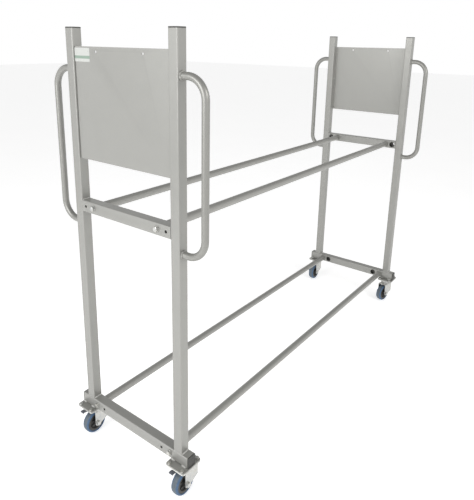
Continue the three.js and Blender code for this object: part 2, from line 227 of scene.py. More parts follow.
def sweep(bm, stations, radius, count=28):
    """A round bar through stations, each a point and a direction in one upright plane across x."""
    loops = []
    for point, direction in stations:
        across = Vector((1, 0, 0))
        other = direction.cross(across)
        loops.append([point + across * u + other * v for u, v in circle(radius, count)])
    loft(bm, loops)


def rippled(radius, step, spot):
    """A weld bead's radius at one mesh step: its ripples, and some unevenness by place."""
    return radius * (1 + 0.10 * math.cos(2 * math.pi * step / RIPPLE_STEPS) + 0.12 * noise.noise(spot))


def bead(bm, start, end, radius, pitch=2.6 * MM, count=8):
    """A weld bead from start to end, with its ripples."""
    start, end = Vector(start), Vector(end)
    along = (end - start).normalized()
    side = along.cross(Vector((0.31, 0.47, 0.83))).normalized()
    other = along.cross(side)
    steps = max(6, round((end - start).length / pitch) * RIPPLE_STEPS)
    loops = []
    for i in range(steps + 1):
        t = i / steps
        taper = math.sqrt(max(0.04, 1 - abs(2 * t - 1) ** 8))
        here = start.lerp(end, t)
        r = rippled(radius * taper, i, here * 300)
        loops.append([here + side * u + other * v for u, v in circle(r, count)])
    loft(bm, loops)


def ring_bead(bm, centre, axis, major, minor, ripples=30):
    """A weld bead round a bar, as a rippled ring."""
    loops = []
    steps = ripples * RIPPLE_STEPS
    for i in range(steps):
        t = 2 * math.pi * i / steps
        r = rippled(minor, i, Vector((t, major, 0)) * 4)
        loops.append([
            Vector(on_axis(axis, (major + a) * math.cos(t), (major + a) * math.sin(t), b)) + Vector(centre)
            for a, b in circle(r, 8)
        ])
    loft(bm, loops, closed=True)


def apply_modifiers(obj):
    """Replaces obj's mesh by what its modifiers make of it."""
    bpy.context.view_layer.update()
    graph = bpy.context.evaluated_depsgraph_get()
    mesh = bpy.data.meshes.new_from_object(obj.evaluated_get(graph))
    obj.modifiers.clear()
    obj.data = mesh


def new_object(name, bm):
    """A linked mesh object from a bmesh, with its normals facing out."""
    bmesh.ops.recalc_face_normals(bm, faces=bm.faces)
    mesh = bpy.data.meshes.new(name)
    bm.to_mesh(mesh)
    bm.free()
    obj = bpy.data.objects.new(name, mesh)
    bpy.context.scene.collection.objects.link(obj)
    return obj


def boolean(obj, tool_bm, operation="DIFFERENCE"):
    """Cuts obj with, or keeps of it, what is in another mesh."""
    tool = new_object("tool", tool_bm)
    modifier = obj.modifiers.new("cut", "BOOLEAN")
    modifier.operation = operation
    modifier.solver = "EXACT"
    modifier.object = tool
    apply_modifiers(obj)
    bpy.data.objects.remove(tool)


def drill(obj, *holes):
    """Cuts round holes; each is a radius, axis, low end, high end, centre and count."""
    tools = bmesh.new()
    for hole in holes:
        cylinder(tools, *hole)
    boolean(obj, tools)


def bevel(obj, width, segments, angle):
    """Rounds an object's sharp edges."""
    modifier = obj.modifiers.new("bevel", "BEVEL")
    modifier.width = width
    modifier.segments = segments
    modifier.limit_method = "ANGLE"
    modifier.angle_limit = math.radians(angle)
    modifier.use_clamp_overlap = True
    apply_modifiers(obj)


def piece(obj, material, body, slot, *nodes, matrix=None):
    """Finishes an object as a visible piece: smooth shading, material, body, and the CAD nodes it stands
    for hidden. The slot argument is not used.
    """
    mesh = obj.data
    mesh.shade_smooth()
    mesh.set_sharp_from_angle(angle=SHARP_ANGLE)
    weighted = obj.modifiers.new("weighted", "WEIGHTED_NORMAL")
    weighted.keep_sharp = True
    mesh.materials.clear()
    mesh.materials.append(material)
    if matrix is not None:
        obj.matrix_world = matrix
    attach(obj, body)
    if nodes:
        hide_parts(*nodes)


# ---- materials ----------------------------------------------------------------------------


class Nodes:
    """A material's node tree, with short calls for the nodes used here."""

    def __init__(self, name):
        self.material = bpy.data.materials.new(name)
        self.material.use_nodes = True
        self.tree = self.material.node_tree
        self.shader = self.tree.nodes["Principled BSDF"]
        self.place = self.tree.nodes.new("ShaderNodeTexCoord").outputs["Object"]

    def link(self, a, b):
        self.tree.links.new(a, b)

    def mapped(self, scale):
        node = self.tree.nodes.new("ShaderNodeMapping")
        node.inputs["Scale"].default_value = scale
        self.link(self.place, node.inputs["Vector"])
        return node.outputs["Vector"]

    def noise(self, scale, detail=3.0, roughness=0.5, vector=None):
        node = self.tree.nodes.new("ShaderNodeTexNoise")
        node.inputs["Scale"].default_value = scale
        node.inputs["Detail"].default_value = detail
        node.inputs["Roughness"].default_value = roughness
        self.link(vector or self.place, node.inputs["Vector"])
        return node.outputs["Fac"]

    def cells(self, scale):
        node = self.tree.nodes.new("ShaderNodeTexVoronoi")
        node.inputs["Scale"].default_value = scale
        self.link(self.place, node.inputs["Vector"])
        return node.outputs["Color"]

    def ramp(self, value, stops):
        """A colour ramp; stops are (position, grey or colour)."""
        node = self.tree.nodes.new("ShaderNodeValToRGB")
        elements = node.color_ramp.elements
        while len(elements) < len(stops):
            elements.new(0.5)
        for element, (position, colour) in zip(elements, stops):
            element.position = position
            element.color = (colour,) * 3 + (1,) if isinstance(colour, float) else (*colour, 1)
        self.link(value, node.inputs["Fac"])
        return node.outputs["Color"]

    def mix(self, factor, a, b, blend="MIX"):
        node = self.tree.nodes.new("ShaderNodeMix")
        node.data_type = "RGBA"
        node.blend_type = blend
        for socket, value in ((0, factor), (6, a), (7, b)):
            if isinstance(value, bpy.types.NodeSocket):
                self.link(value, node.inputs[socket])
            else:
                node.inputs[socket].default_value = value if isinstance(value, float) else (*value, 1)
        return node.outputs[2]

    def math(self, operation, a, b=0.0):
        node = self.tree.nodes.new("ShaderNodeMath")
        node.operation = operation
        for socket, value in ((0, a), (1, b)):
            if isinstance(value, bpy.types.NodeSocket):
                self.link(value, node.inputs[socket])
            else:
                node.inputs[socket].default_value = value
        return node.outputs[0]

    def axes(self):
        node = self.tree.nodes.new("ShaderNodeSeparateXYZ")
        self.link(self.place, node.inputs[0])
        return node.outputs

    def pointiness(self):
        return self.tree.nodes.new("ShaderNodeNewGeometry").outputs["Pointiness"]

    def bump(self, height, distance, strength=1.0, under=None):
        node = self.tree.nodes.new("ShaderNodeBump")
        node.inputs["Distance"].default_value = distance
        node.inputs["Strength"].default_value = strength
        self.link(height, node.inputs["Height"])
        if under is not None:
            self.link(under, node.inputs["Normal"])
        return node.outputs["Normal"]

    def done(self, colour, roughness, normal, metallic=0.0):
        self.link(colour, self.shader.inputs["Base Color"])
        self.link(roughness, self.shader.inputs["Roughness"])
        self.link(normal, self.shader.inputs["Normal"])
        self.shader.inputs["Metallic"].default_value = metallic
        return self.material


def silver_paint():
    """Silver-grey powder coat: metallic fleck, orange peel, faint handling marks and rubbed edges."""
    n = Nodes("silver_paint")
    tone = n.ramp(n.noise(3.0, 2.0), [(0.3, (0.272, 0.271, 0.255)), (0.7, (0.288, 0.287, 0.271))])
    fleck = n.ramp(n.cells(2600.0), [(0.0, 0.86), (1.0, 1.10)])
    colour = n.mix(1.0, tone, fleck, "MULTIPLY")
    scuff = n.ramp(n.noise(38.0, 6.0, 0.7, n.mapped((1, 1, 0.25))), [(0.66, 0.0), (0.82, 0.30)])
    colour = n.mix(scuff, colour, (0.27, 0.265, 0.245))
    edge = n.ramp(n.pointiness(), [(0.53, 0.0), (0.62, 0.45)])
    colour = n.mix(edge, colour, (0.46, 0.46, 0.44))
    roughness = n.ramp(n.noise(24.0, 5.0, 0.6), [(0.3, 0.34), (0.75, 0.42)])
    peel = n.bump(n.noise(620.0, 2.0), 0.00006, 0.5)
    normal = n.bump(n.noise(4200.0, 1.0), 0.000012, 0.5, peel)
    return n.done(colour, roughness, normal, metallic=0.45)


def weld_paint_painted_highlight():
    """The same coat over weld metal, thicker and a little rougher, with a painted highlight: its colour is
    far lighter than the coat's, standing in for the sheen on the beads.
    """
    n = Nodes("weld_paint_painted_highlight")
    # painted highlight: the beads are coloured far lighter than the coat they share, for the light caught
    # on their ripples
    colour = n.ramp(n.noise(160.0, 4.0), [(0.3, (0.42, 0.42, 0.40)), (0.7, (0.62, 0.62, 0.60))])
    roughness = n.ramp(n.noise(90.0, 3.0), [(0.3, 0.34), (0.7, 0.52)])
    return n.done(colour, roughness, n.bump(n.noise(900.0, 3.0), 0.00015, 0.5), metallic=0.15)


def zinc_plate():
    """Bright zinc plate, with its faint cloudy colour, fine drawing lines and painted shade in its
    hollows.
    """
    n = Nodes("zinc_plate")
    tints = [(0.3, (0.48, 0.49, 0.49)), (0.5, (0.57, 0.57, 0.55)), (0.7, (0.53, 0.52, 0.48))]
    cloud = n.ramp(n.noise(60.0, 4.0), tints)
    grain = n.ramp(n.noise(300.0, 4.0, 0.6, n.mapped((1, 1, 6))), [(0.3, 0.88), (0.7, 1.06)])
    colour = n.mix(1.0, cloud, grain, "MULTIPLY")
    # painted shade: darkened towards (0.16, 0.15, 0.13) in the hollows, where pointiness is low
    hollow_shade = n.ramp(n.pointiness(), [(0.42, 0.55), (0.49, 0.0)])
    colour = n.mix(hollow_shade, colour, (0.16, 0.15, 0.13))
    roughness = n.ramp(n.noise(110.0, 4.0), [(0.3, 0.24), (0.7, 0.42)])
    return n.done(colour, roughness, n.bump(n.noise(1500.0, 2.0), 0.00003, 0.6), metallic=0.9)


def black_plastic():
    """Moulded black polyethylene with a fine spark grain and dusty wear."""
    n = Nodes("black_plastic")
    base = n.ramp(n.noise(80.0, 5.0), [(0.3, (0.020, 0.020, 0.018)), (0.7, (0.042, 0.042, 0.038))])
    edge = n.ramp(n.pointiness(), [(0.52, 0.0), (0.62, 0.5)])
    colour = n.mix(edge, base, (0.12, 0.12, 0.11))
    roughness = n.ramp(n.noise(140.0, 4.0), [(0.3, 0.42), (0.7, 0.60)])
    return n.done(colour, roughness, n.bump(n.noise(2400.0, 2.0), 0.00006, 0.7))


def hub_nylon():
    """Glass-filled black nylon, greyer on the outer ring where the tyre is bonded."""
    n = Nodes("hub_nylon")
    x, _, z = n.axes()[:3]
    radius = n.math("SQRT", n.math("ADD", n.math("MULTIPLY", x, x), n.math("MULTIPLY", z, z)))
    ring = n.ramp(n.math("MULTIPLY", radius, 20.0), [(0.60, 0.0), (0.64, 1.0)])  # 50 mm is 1
    base = n.ramp(n.noise(120.0, 5.0), [(0.3, (0.018, 0.018, 0.018)), (0.7, (0.034, 0.033, 0.031))])
    colour = n.mix(ring, base, (0.042, 0.040, 0.037))
    roughness = n.ramp(n.noise(200.0, 4.0), [(0.3, 0.38), (0.7, 0.58)])
    return n.done(colour, roughness, n.bump(n.noise(1800.0, 2.0), 0.00006, 0.7))


def blue_rubber():
    """Blue elastic rubber with a tread band scuffed to grey by the floor."""
    n = Nodes("blue_rubber")
    y = n.axes()[1]
    across = n.math("MULTIPLY", n.math("ABSOLUTE", y), 50.0)  # 20 mm is 1
    ragged = n.math("ADD", across, n.math("MULTIPLY", n.noise(90.0, 5.0), 0.25))
    tread = n.ramp(ragged, [(0.52, 1.0), (0.68, 0.0)])
    blue = n.ramp(n.noise(70.0, 5.0), [(0.3, (0.042, 0.090, 0.170)), (0.7, (0.060, 0.118, 0.210))])
    grey = n.ramp(n.noise(160.0, 6.0, 0.7), [(0.3, (0.075, 0.100, 0.125)), (0.7, (0.115, 0.140, 0.165))])
    colour = n.mix(tread, blue, grey)
    roughness = n.ramp(n.noise(150.0, 5.0), [(0.3, 0.48), (0.7, 0.72)])
    return n.done(colour, roughness, n.bump(n.noise(700.0, 5.0, 0.7), 0.00020, 0.6))


def pedal_paint():
    """Dark blue-black enamel, rubbed along its edges."""
    n = Nodes("pedal_paint")
    base = n.ramp(n.noise(60.0, 4.0), [(0.3, (0.010, 0.015, 0.028)), (0.7, (0.020, 0.028, 0.048))])
    edge = n.ramp(n.pointiness(), [(0.52, 0.0), (0.60, 0.7)])
    colour = n.mix(edge, base, (0.14, 0.15, 0.17))
    roughness = n.ramp(n.noise(90.0, 4.0), [(0.3, 0.30), (0.7, 0.50)])
    return n.done(colour, roughness, n.bump(n.noise(900.0, 3.0), 0.00005, 0.6))


def label_film():
    """A blank off-white sticker with one plain grey-green bar along its foot."""
    n = Nodes("label_film")
    paper = n.ramp(n.noise(300.0, 3.0), [(0.3, (0.45, 0.46, 0.44)), (0.7, (0.49, 0.50, 0.48))])
    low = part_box("front_end_panel")[1].z - LABEL_HEIGHT
    height = n.math("SUBTRACT", n.axes()[2], low)
    twentieths = n.math("MULTIPLY", height, 20.0)  # 50 mm is 1
    bar = n.ramp(twentieths, [(0.10, 0.0), (0.12, 1.0), (0.30, 1.0), (0.32, 0.0)])
    colour = n.mix(bar, paper, (0.22, 0.29, 0.24))
    roughness = n.ramp(n.noise(60.0, 3.0), [(0.3, 0.26), (0.7, 0.40)])
    return n.done(colour, roughness, n.bump(n.noise(500.0, 2.0), 0.00003, 0.4))


PAINT = silver_paint()
WELD_PAINTED_HIGHLIGHT = weld_paint_painted_highlight()
ZINC = zinc_plate()
BLACK = black_plastic()
NYLON = hub_nylon()
RUBBER = blue_rubber()
PEDAL = pedal_paint()
LABEL = label_film()

# ---- end frames ---------------------------------------------------------------------------


def middle(node):
    """The middle of a node's box."""
    low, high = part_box(node)
    return (low + high) / 2


def make_upright(node):
    """A square tube standing on the base beam."""
    low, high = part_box(node)
    size = (high.x - low.x, high.y - low.y)
    centre = (middle(node).x, middle(node).y, 0)
    bm = bmesh.new()
    box_tube(bm, size, TUBE_CORNER, UPRIGHT_WALL, "z", low.z, high.z, centre)
    piece(new_object(node + "_tube", bm), PAINT, "frame", "silver_paint", node)


def make_beam(node, outward):
    """A beam with the bolt holes in its outer wall and the rail sockets in its inner wall."""
    low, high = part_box(node)
    centre = Vector((middle(node).x, 0, middle(node).z))
    size = (high.x - low.x, high.z - low.z)
    bm = bmesh.new()
    box_tube(bm, size, TUBE_CORNER, BEAM_WALL, "y", low.y, high.y, centre)
    obj = new_object(node + "_tube", bm)
    rail_ys = {abs(middle(f"{level}_left_rail").y) for level in ("lower", "upper")}
    face = centre.x + outward * size[0] / 2
    back = centre.x - outward * size[0] / 2
    holes = []
    for y in sorted(sign * rail_y for sign in SIDES.values() for rail_y in rail_ys):
        for radius, wall in ((BOLT_HOLE_RADIUS, face), (SOCKET_RADIUS, back)):
            holes.append((radius, "x", wall - 5 * MM, wall + 5 * MM, (0, y, centre.z), 48))
    drill(obj, *holes)
    piece(obj, PAINT, "frame", "silver_paint", node)


def make_cap(node, axis, outward):
    """A moulded cap: a flange with a soft rim, and the tapered plug below it."""
    low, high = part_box(node)
    index = "xyz".index(axis)
    across = [i for i in range(3) if i != index]
    width, height = (high[i] - low[i] for i in across)
    centre = middle(node)
    centre[index] = 0
    outer, inner = (high[index], low[index]) if outward > 0 else (low[index], high[index])
    rim, plug = 1.2 * MM, 3.2 * MM  # the rim's rounding, and the plug's inset from the flange

    def loop(inset, at):
        corner = max(0.8 * MM, TUBE_CORNER - inset)
        points = rounded(width - 2 * inset, height - 2 * inset, corner)
        return [Vector(on_axis(axis, u, v, at)) + centre for u, v in points]

    bm = bmesh.new()
    steps = 4
    seat = outer - outward * CAP_FLANGE
    loops = [loop(plug + 1 * MM, inner), loop(plug, inner + outward * 2 * MM)]
    loops += [loop(plug, seat), loop(0, seat)]
    for i in range(steps + 1):
        t = i / steps * math.pi / 2
        loops.append(loop(rim * (1 - math.cos(t)), outer - outward * rim * (1 - math.sin(t))))
    loops.append(loop(width * 0.2, outer))
    loft(bm, loops)
    piece(new_object(node + "_moulding", bm), BLACK, "frame", "black_plastic", node)


def make_panel(node, outward):
    """The folded sheet with its two hanging holes, and a rivet through each of its sides."""
    low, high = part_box(node)
    face = low.x if outward < 0 else high.x
    edge = high.x if outward < 0 else low.x
    inward = -outward
    half = high.y

    def arc(radius, start, end, side):
        points = []
        for i in range(9):
            t = math.radians(start + (end - start) * i / 8)
            x = face + inward * (PANEL_BEND - radius * math.cos(t))
            points.append((x, side * (half - PANEL_BEND + radius * math.sin(t))))
        return points

    inner = PANEL_BEND - PANEL_SHEET
    section = [(edge, half)] + arc(PANEL_BEND, 90, 0, 1) + arc(PANEL_BEND, 0, 90, -1) + [(edge, -half)]
    section += [(edge, -half + PANEL_SHEET)] + arc(inner, 90, 0, -1) + arc(inner, 0, 90, 1)
    section += [(edge, half - PANEL_SHEET)]
    bm = bmesh.new()
    loft(bm, [[(x, y, z) for x, y in section] for z in (low.z, high.z)])
    obj = new_object(node + "_sheet", bm)
    holes = []
    for y in (-PANEL_HOLE_Y, PANEL_HOLE_Y):
        at = (0, y, high.z - PANEL_HOLE_DROP)
        holes.append((PANEL_HOLE_RADIUS, "x", face - 8 * MM, face + 8 * MM, at, 32))
    drill(obj, *holes)
    piece(obj, PAINT, "frame", "silver_paint", node)

    dome = [(5, 0), (4.9, 0.7), (4.2, 1.6), (3.0, 2.2), (1.4, 2.5), (1.2, 1.6)]
    centre = (face + inward * PANEL_RIVET_SETBACK, 0, (low.z + high.z) / 2)
    for side, sign in SIDES.items():
        bm = bmesh.new()
        turned(bm, dome, "y", centre, 32, seat=sign * (half - PANEL_SHEET), way=-sign, closed=False)
        piece(new_object(f"{node}_{side}_rivet", bm), ZINC, "frame", "zinc")


def make_handle(node, side):
    """A bent tube with a weld bead round each foot."""
    low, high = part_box(node)
    radius = (high.x - low.x) / 2
    root = low.y if side > 0 else high.y
    grip = (high.y if side > 0 else low.y) - side * radius
    bottom, top = low.z + radius, high.z - radius
    x = middle(node).x
    stations = [(Vector((x, root, bottom)), Vector((0, side, 0)))]
    for centre_z, start in ((bottom + HANDLE_BEND, 0.0), (top - HANDLE_BEND, math.pi / 2)):
        for i in range(HANDLE_STEPS + 1):
            t = start + i / HANDLE_STEPS * math.pi / 2
            y = grip - side * HANDLE_BEND * (1 - math.sin(t))
            place = Vector((x, y, centre_z - HANDLE_BEND * math.cos(t)))
            stations.append((place, Vector((0, side * math.cos(t), math.sin(t)))))
    stations.append((Vector((x, root, top)), Vector((0, -side, 0))))
    bm = bmesh.new()
    sweep(bm, stations, radius)
    piece(new_object(node + "_tube", bm), PAINT, "frame", "silver_paint", node)
    bm = bmesh.new()
    for z in (bottom, top):
        ring_bead(bm, (x, root + side * 1.6 * MM, z), "y", radius + 0.6 * MM, 3.4 * MM)
    piece(new_object(node + "_welds", bm), PAINT, "frame", "silver_paint")


def make_frame_welds(end):
    """The beads at the uprights' feet, the mid beam's ends and the castor pads."""
    bm = bmesh.new()
    base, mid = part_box(f"{end}_base_beam"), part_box(f"{end}_mid_beam")
    for side, sign in SIDES.items():
        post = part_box(f"{end}_{side}_upright")
        x0, x1 = post[0].x + TUBE_CORNER, post[1].x - TUBE_CORNER
        for y in (post[0].y, post[1].y):
            bead(bm, (x0, y, base[1].z), (x1, y, base[1].z), 3.8 * MM)
        y = sign * mid[1].y
        for z in (mid[0].z, mid[1].z):
            bead(bm, (x0, y, z), (x1, y, z), 2.8 * MM)
        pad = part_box(f"{end}_{side}_castor_pad")
        middle_y = (pad[0].y + pad[1].y) / 2
        z = base[0].z + 1 * MM
        for x in (base[0].x, base[1].x):
            for offset in (-30 * MM, 24 * MM):
                start, stop = middle_y + offset, middle_y + offset + 20 * MM
                bead(bm, (x, start, z), (x, stop, z), 3.8 * MM)
    piece(new_object(f"{end}_frame_welds", bm), WELD_PAINTED_HIGHLIGHT, "frame", "silver_paint")


def make_rail_bolt(node, outward):
    """A washer-faced hexagon bolt through the beam's outer wall."""
    low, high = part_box(node)
    at = middle(node)
    top = high.x if outward > 0 else low.x
    seat = top - outward * (RAIL_BOLT_HEAD + RAIL_BOLT_WASHER)
    centre = (0, at.y, at.z)
    bm = bmesh.new()
    washer = [(10.3, 0), (10.5, 0.3), (10.5, 1.6), (10.1, 2.0), (5.2, 2.0), (5.2, 0)]
    turned(bm, washer, "x", centre, 48, seat, outward)
    hexagon_head(bm, RAIL_BOLT_FLATS, "x", seat + outward * RAIL_BOLT_WASHER, top, centre)
    shank = sorted((seat - outward * RAIL_BOLT_REACH, seat + outward * 2.5 * MM))
    cylinder(bm, RAIL_BOLT_RADIUS, "x", *shank, centre, 32, 0.5 * MM)
    piece(new_object(node + "_set", bm), ZINC, "frame", "zinc", node)


def make_label():
    """The blank sticker at the front panel's upper left corner."""
    low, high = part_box("front_end_panel")
    bm = bmesh.new()
    thick, edge = 0.3 * MM, 0.1 * MM
    centre = (0, LABEL_Y, high.z - LABEL_DROP - LABEL_HEIGHT / 2)
    outline = rounded(LABEL_WIDTH, LABEL_HEIGHT, 2 * MM)
    inset = rounded(LABEL_WIDTH - 2 * edge, LABEL_HEIGHT - 2 * edge, 2 * MM - edge)
    prism(bm, outline, inset, "x", low.x - thick, low.x, centre, edge)
    piece(new_object("blank_label", bm), LABEL, "frame", "label")


# ---- rails --------------------------------------------------------------------------------


def make_rail(node):
    """A round tube with a threaded insert in each end."""
    low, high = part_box(node)
    radius = (high.z - low.z) / 2
    bore = radius - RAIL_WALL
    thread, edge = 5.5 * MM, 0.6 * MM
    profile = [
        (thread, low.x), (radius - edge, low.x), (radius, low.x + edge),
        (radius, high.x - edge), (radius - edge, high.x), (thread, high.x),
        (thread, high.x - RAIL_INSERT), (bore, high.x - RAIL_INSERT),
        (bore, low.x + RAIL_INSERT), (thread, low.x + RAIL_INSERT),
    ]
    bm = bmesh.new()
    lathe(bm, profile, "x", (0, middle(node).y, middle(node).z), 56)
    piece(new_object(node + "_tube", bm), PAINT, "frame", "silver_paint", node)


# ---- castors ------------------------------------------------------------------------------
# Forks are made with the swivel axis at x = y = 0 and the floor at z = 0, trailing to -x. Wheels, axles
# and pedals are made round their own axis.


def plate_outline(inset=0.0):
    """The outline that every pad and top plate shares."""
    low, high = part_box("front_left_castor_pad")
    return rounded(high.x - low.x - 2 * inset, high.y - low.y - 2 * inset, PAD_CORNER - inset, 8)


def make_pad(place):
    """The welded steel pad, then the castor's top plate with its race, pin and bolts."""
    node = place + "_castor_pad"
    low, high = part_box(node)
    centre = (middle(node).x, middle(node).y, 0)
    bm = bmesh.new()
    edge = 0.8 * MM
    prism(bm, plate_outline(), plate_outline(edge), "z", low.z, high.z, centre, edge)
    piece(new_object(node + "_steel", bm), PAINT, "frame", "silver_paint", node)

    plate = place + "_castor_plate"
    swivel = (*JOINTS[place + "_swivel"]["pos_m"][:2], 0)
    bm = bmesh.new()
    prism(bm, plate_outline(), plate_outline(edge), "z", low.z - PLATE_THICKNESS, low.z, centre, edge)
    race = [(6, 130), (29, 130), (29, 128.5), (27, 127), (27, 123), (25.5, 121), (6, 121)]
    turned(bm, race, "z", swivel, 64)
    cylinder(bm, KING_PIN_RADIUS, "z", KING_PIN_LOW, KING_PIN_HIGH, swivel, 32, 0.6 * MM)
    hexagon_head(bm, KING_PIN_FLATS, "z", KING_PIN_NUT, KING_PIN_LOW, swivel)
    piece(new_object(plate + "_steel", bm), ZINC, "frame", "zinc", plate)

    bm = bmesh.new()
    washer = [(4.2, 0), (7.4, 0), (7.5, 0.2), (7.5, 1.0), (7.2, 1.2), (4.2, 1.2)]
    base, top = high.z + PLATE_BOLT_WASHER, high.z + PLATE_BOLT_TOP
    for i in (-1, 1):
        for j in (-1, 1):
            at = (centre[0] + i * PAD_BOLT_X, centre[1] + j * PAD_BOLT_Y, 0)
            turned(bm, washer, "z", at, 32, seat=high.z)
            hexagon_head(bm, PLATE_BOLT_FLATS, "z", base, top, at)
    piece(new_object(place + "_castor_plate_bolts", bm), ZINC, "frame", "zinc")


def fork_outline():
    """The side view of a fork leg as (x, z) points, round its tip in steps."""
    points = [(FORK_BACK, FORK_TOP), (FORK_BACK, AXLE_HEIGHT)]
    steps = 14
    for i in range(steps + 1):
        t = math.pi * (1 + 0.67 * i / steps)
        x = -SWIVEL_TO_AXLE + FORK_TIP_RADIUS * math.cos(t)
        points.append((x, AXLE_HEIGHT + FORK_TIP_RADIUS * math.sin(t)))
    return points + [(FORK_FRONT, FORK_FRONT_LOW), (FORK_FRONT, FORK_TOP)]


def fork_rib(bm, side):
    """A stiffening rib pressed up on one leg's outer face, leaning back as it goes down."""
    centre_x, centre_z = -19.5, 84  # millimetres, as are the numbers below
    length, squash, lean = 36, 0.8, 9 / 48
    loops = []
    for half, tall in ((6.0, -0.5), (6.0, 0.1), (4.6, 1.0), (1.0, 1.0)):
        corner = min(half, 5) * 0.98
        y = side * (FORK_OUTSIDE + tall * MM)
        loops.append([
            ((centre_x + lean * v + u) * MM, y, (centre_z + v * squash) * MM)
            for u, v in rounded(2 * half, length + 2 * half, corner)
        ])
    loft(bm, loops)


def make_fork(place, matrix, braked):
    """The pressed fork: one bent sheet, trimmed to the legs' outline, with its ribs and lower race."""
    below, steps = 20 * MM, 8

    def arch(inset):
        points = [(-FORK_OUTSIDE + inset, below)]
        for side in (-1, 1):
            for i in range(steps + 1):
                t = math.pi / 2 * (i / steps if side < 0 else 1 - i / steps)
                radius = FORK_BEND - inset
                y = side * (FORK_OUTSIDE - FORK_BEND + radius * math.cos(t))
                points.append((y, FORK_TOP - FORK_BEND + radius * math.sin(t)))
        return points + [(FORK_OUTSIDE - inset, below)]

    section = arch(0.0) + arch(FORK_SHEET)[::-1]
    bm = bmesh.new()
    loft(bm, [[(x, y, z) for y, z in section] for x in (FORK_BACK - 5 * MM, FORK_FRONT + 5 * MM)])
    obj = new_object(place + "_castor_fork_pressing", bm)
    trim = bmesh.new()
    across = FORK_OUTSIDE + 5 * MM
    loft(trim, [[(x, y, z) for x, z in fork_outline()] for y in (-across, across)])
    boolean(obj, trim, "INTERSECT")
    drill(obj, (6.3 * MM, "y", -40 * MM, 40 * MM, (-SWIVEL_TO_AXLE, 0, AXLE_HEIGHT), 32))
    drill(obj, (6.5 * MM, "z", 105 * MM, 125 * MM, ORIGIN, 32))
    if braked:
        drill(obj, (3.4 * MM, "y", -40 * MM, 40 * MM, (PEDAL_PIVOT_X, 0, PEDAL_PIVOT_Z), 24))
    bevel(obj, 0.7 * MM, 2, 40)
    body = place + "_castor"
    bm = bmesh.new()
    for side in (-1, 1):
        fork_rib(bm, side)
    piece(new_object(place + "_castor_fork_ribs", bm), ZINC, body, "zinc", matrix=matrix)
    piece(obj, ZINC, body, "zinc", place + "_castor_fork", matrix=matrix)
    bm = bmesh.new()
    race = [(6.5, 114.5), (25, 114.5), (26.6, 115.3), (27, 117), (26.4, 119.2), (24.5, 120), (6.5, 120)]
    turned(bm, race, "z", ORIGIN, 64)
    piece(new_object(place + "_castor_lower_race", bm), ZINC, body, "zinc", matrix=matrix)


def make_wheel(place, matrix):
    """The nylon wheel centre with its ribs, and the rubber tyre moulded on it."""
    body = place + "_wheel"
    profile = [
        (6.3, -22), (11.5, -22), (12.5, -21.3), (13, -20), (14, -9.5), (15.5, -8), (28, -8), (29.5, -9.5),
        (31, -13.4), (32, -14.4), (39.2, -14.4), (40, -13.6),
    ]
    profile += [(r, -h) for r, h in reversed(profile)]
    bm = bmesh.new()
    turned(bm, profile, "y", ORIGIN, 80)
    for k in range(WHEEL_RIBS):
        t = 2 * math.pi * (k + 0.5) / WHEEL_RIBS
        c, s = math.cos(t), math.sin(t)
        for face in (-1, 1):
            loops = []
            for along, half, tall in ((12, 1.6, 14), (21, 1.2, 11.5), (31, 1.2, 12)):
                corners = [(-half, 7), (half, 7), (half, tall), (-half, tall)]
                loops.append([
                    ((along * c - u * s) * MM, face * v * MM, (along * s + u * c) * MM) for u, v in corners
                ])
            loft(bm, loops)
    hub = new_object(place + "_wheel_centre", bm)
    piece(hub, NYLON, body, "hub_plastic", place + "_wheel_hub", matrix=matrix)

    side = [
        (39.8, -13.2), (40.6, -14.8), (42.5, -15.8), (44.8, -15.7),
        (47.0, -14.4), (48.6, -11.6), (49.6, -7.0), (50, 0),
    ]
    profile = side + [(r, -h) for r, h in reversed(side[:-1])]
    bm = bmesh.new()
    turned(bm, profile, "y", ORIGIN, 96)
    tyre = new_object(place + "_wheel_rubber", bm)
    piece(tyre, RUBBER, body, "blue_rubber", place + "_wheel_tyre", matrix=matrix)


def make_axle(place, matrix):
    """The axle bolt, its nut with the thread end beyond it, and a thin washer under each."""
    node = place + "_axle_bolt"
    washer = 1 * MM
    seat, head, nut, thread = (FORK_OUTSIDE + reach for reach in (washer, 8 * MM, 10 * MM, 13 * MM))
    bm = bmesh.new()
    cylinder(bm, AXLE_RADIUS, "y", -seat, thread, ORIGIN, 32, 1 * MM)
    hexagon_head(bm, AXLE_FLATS, "y", -seat, -head, ORIGIN)
    hexagon_head(bm, AXLE_FLATS, "y", seat, nut, ORIGIN)
    disc = [(6.1, 0), (10.1, 0), (10.3, 0.2), (10.3, 0.8), (10.1, 1.0), (6.1, 1.0)]
    for side in (-1, 1):
        turned(bm, disc, "y", ORIGIN, 40, side * FORK_OUTSIDE, side)
    piece(new_object(node + "_set", bm), ZINC, place + "_castor", "zinc", node, matrix=matrix)


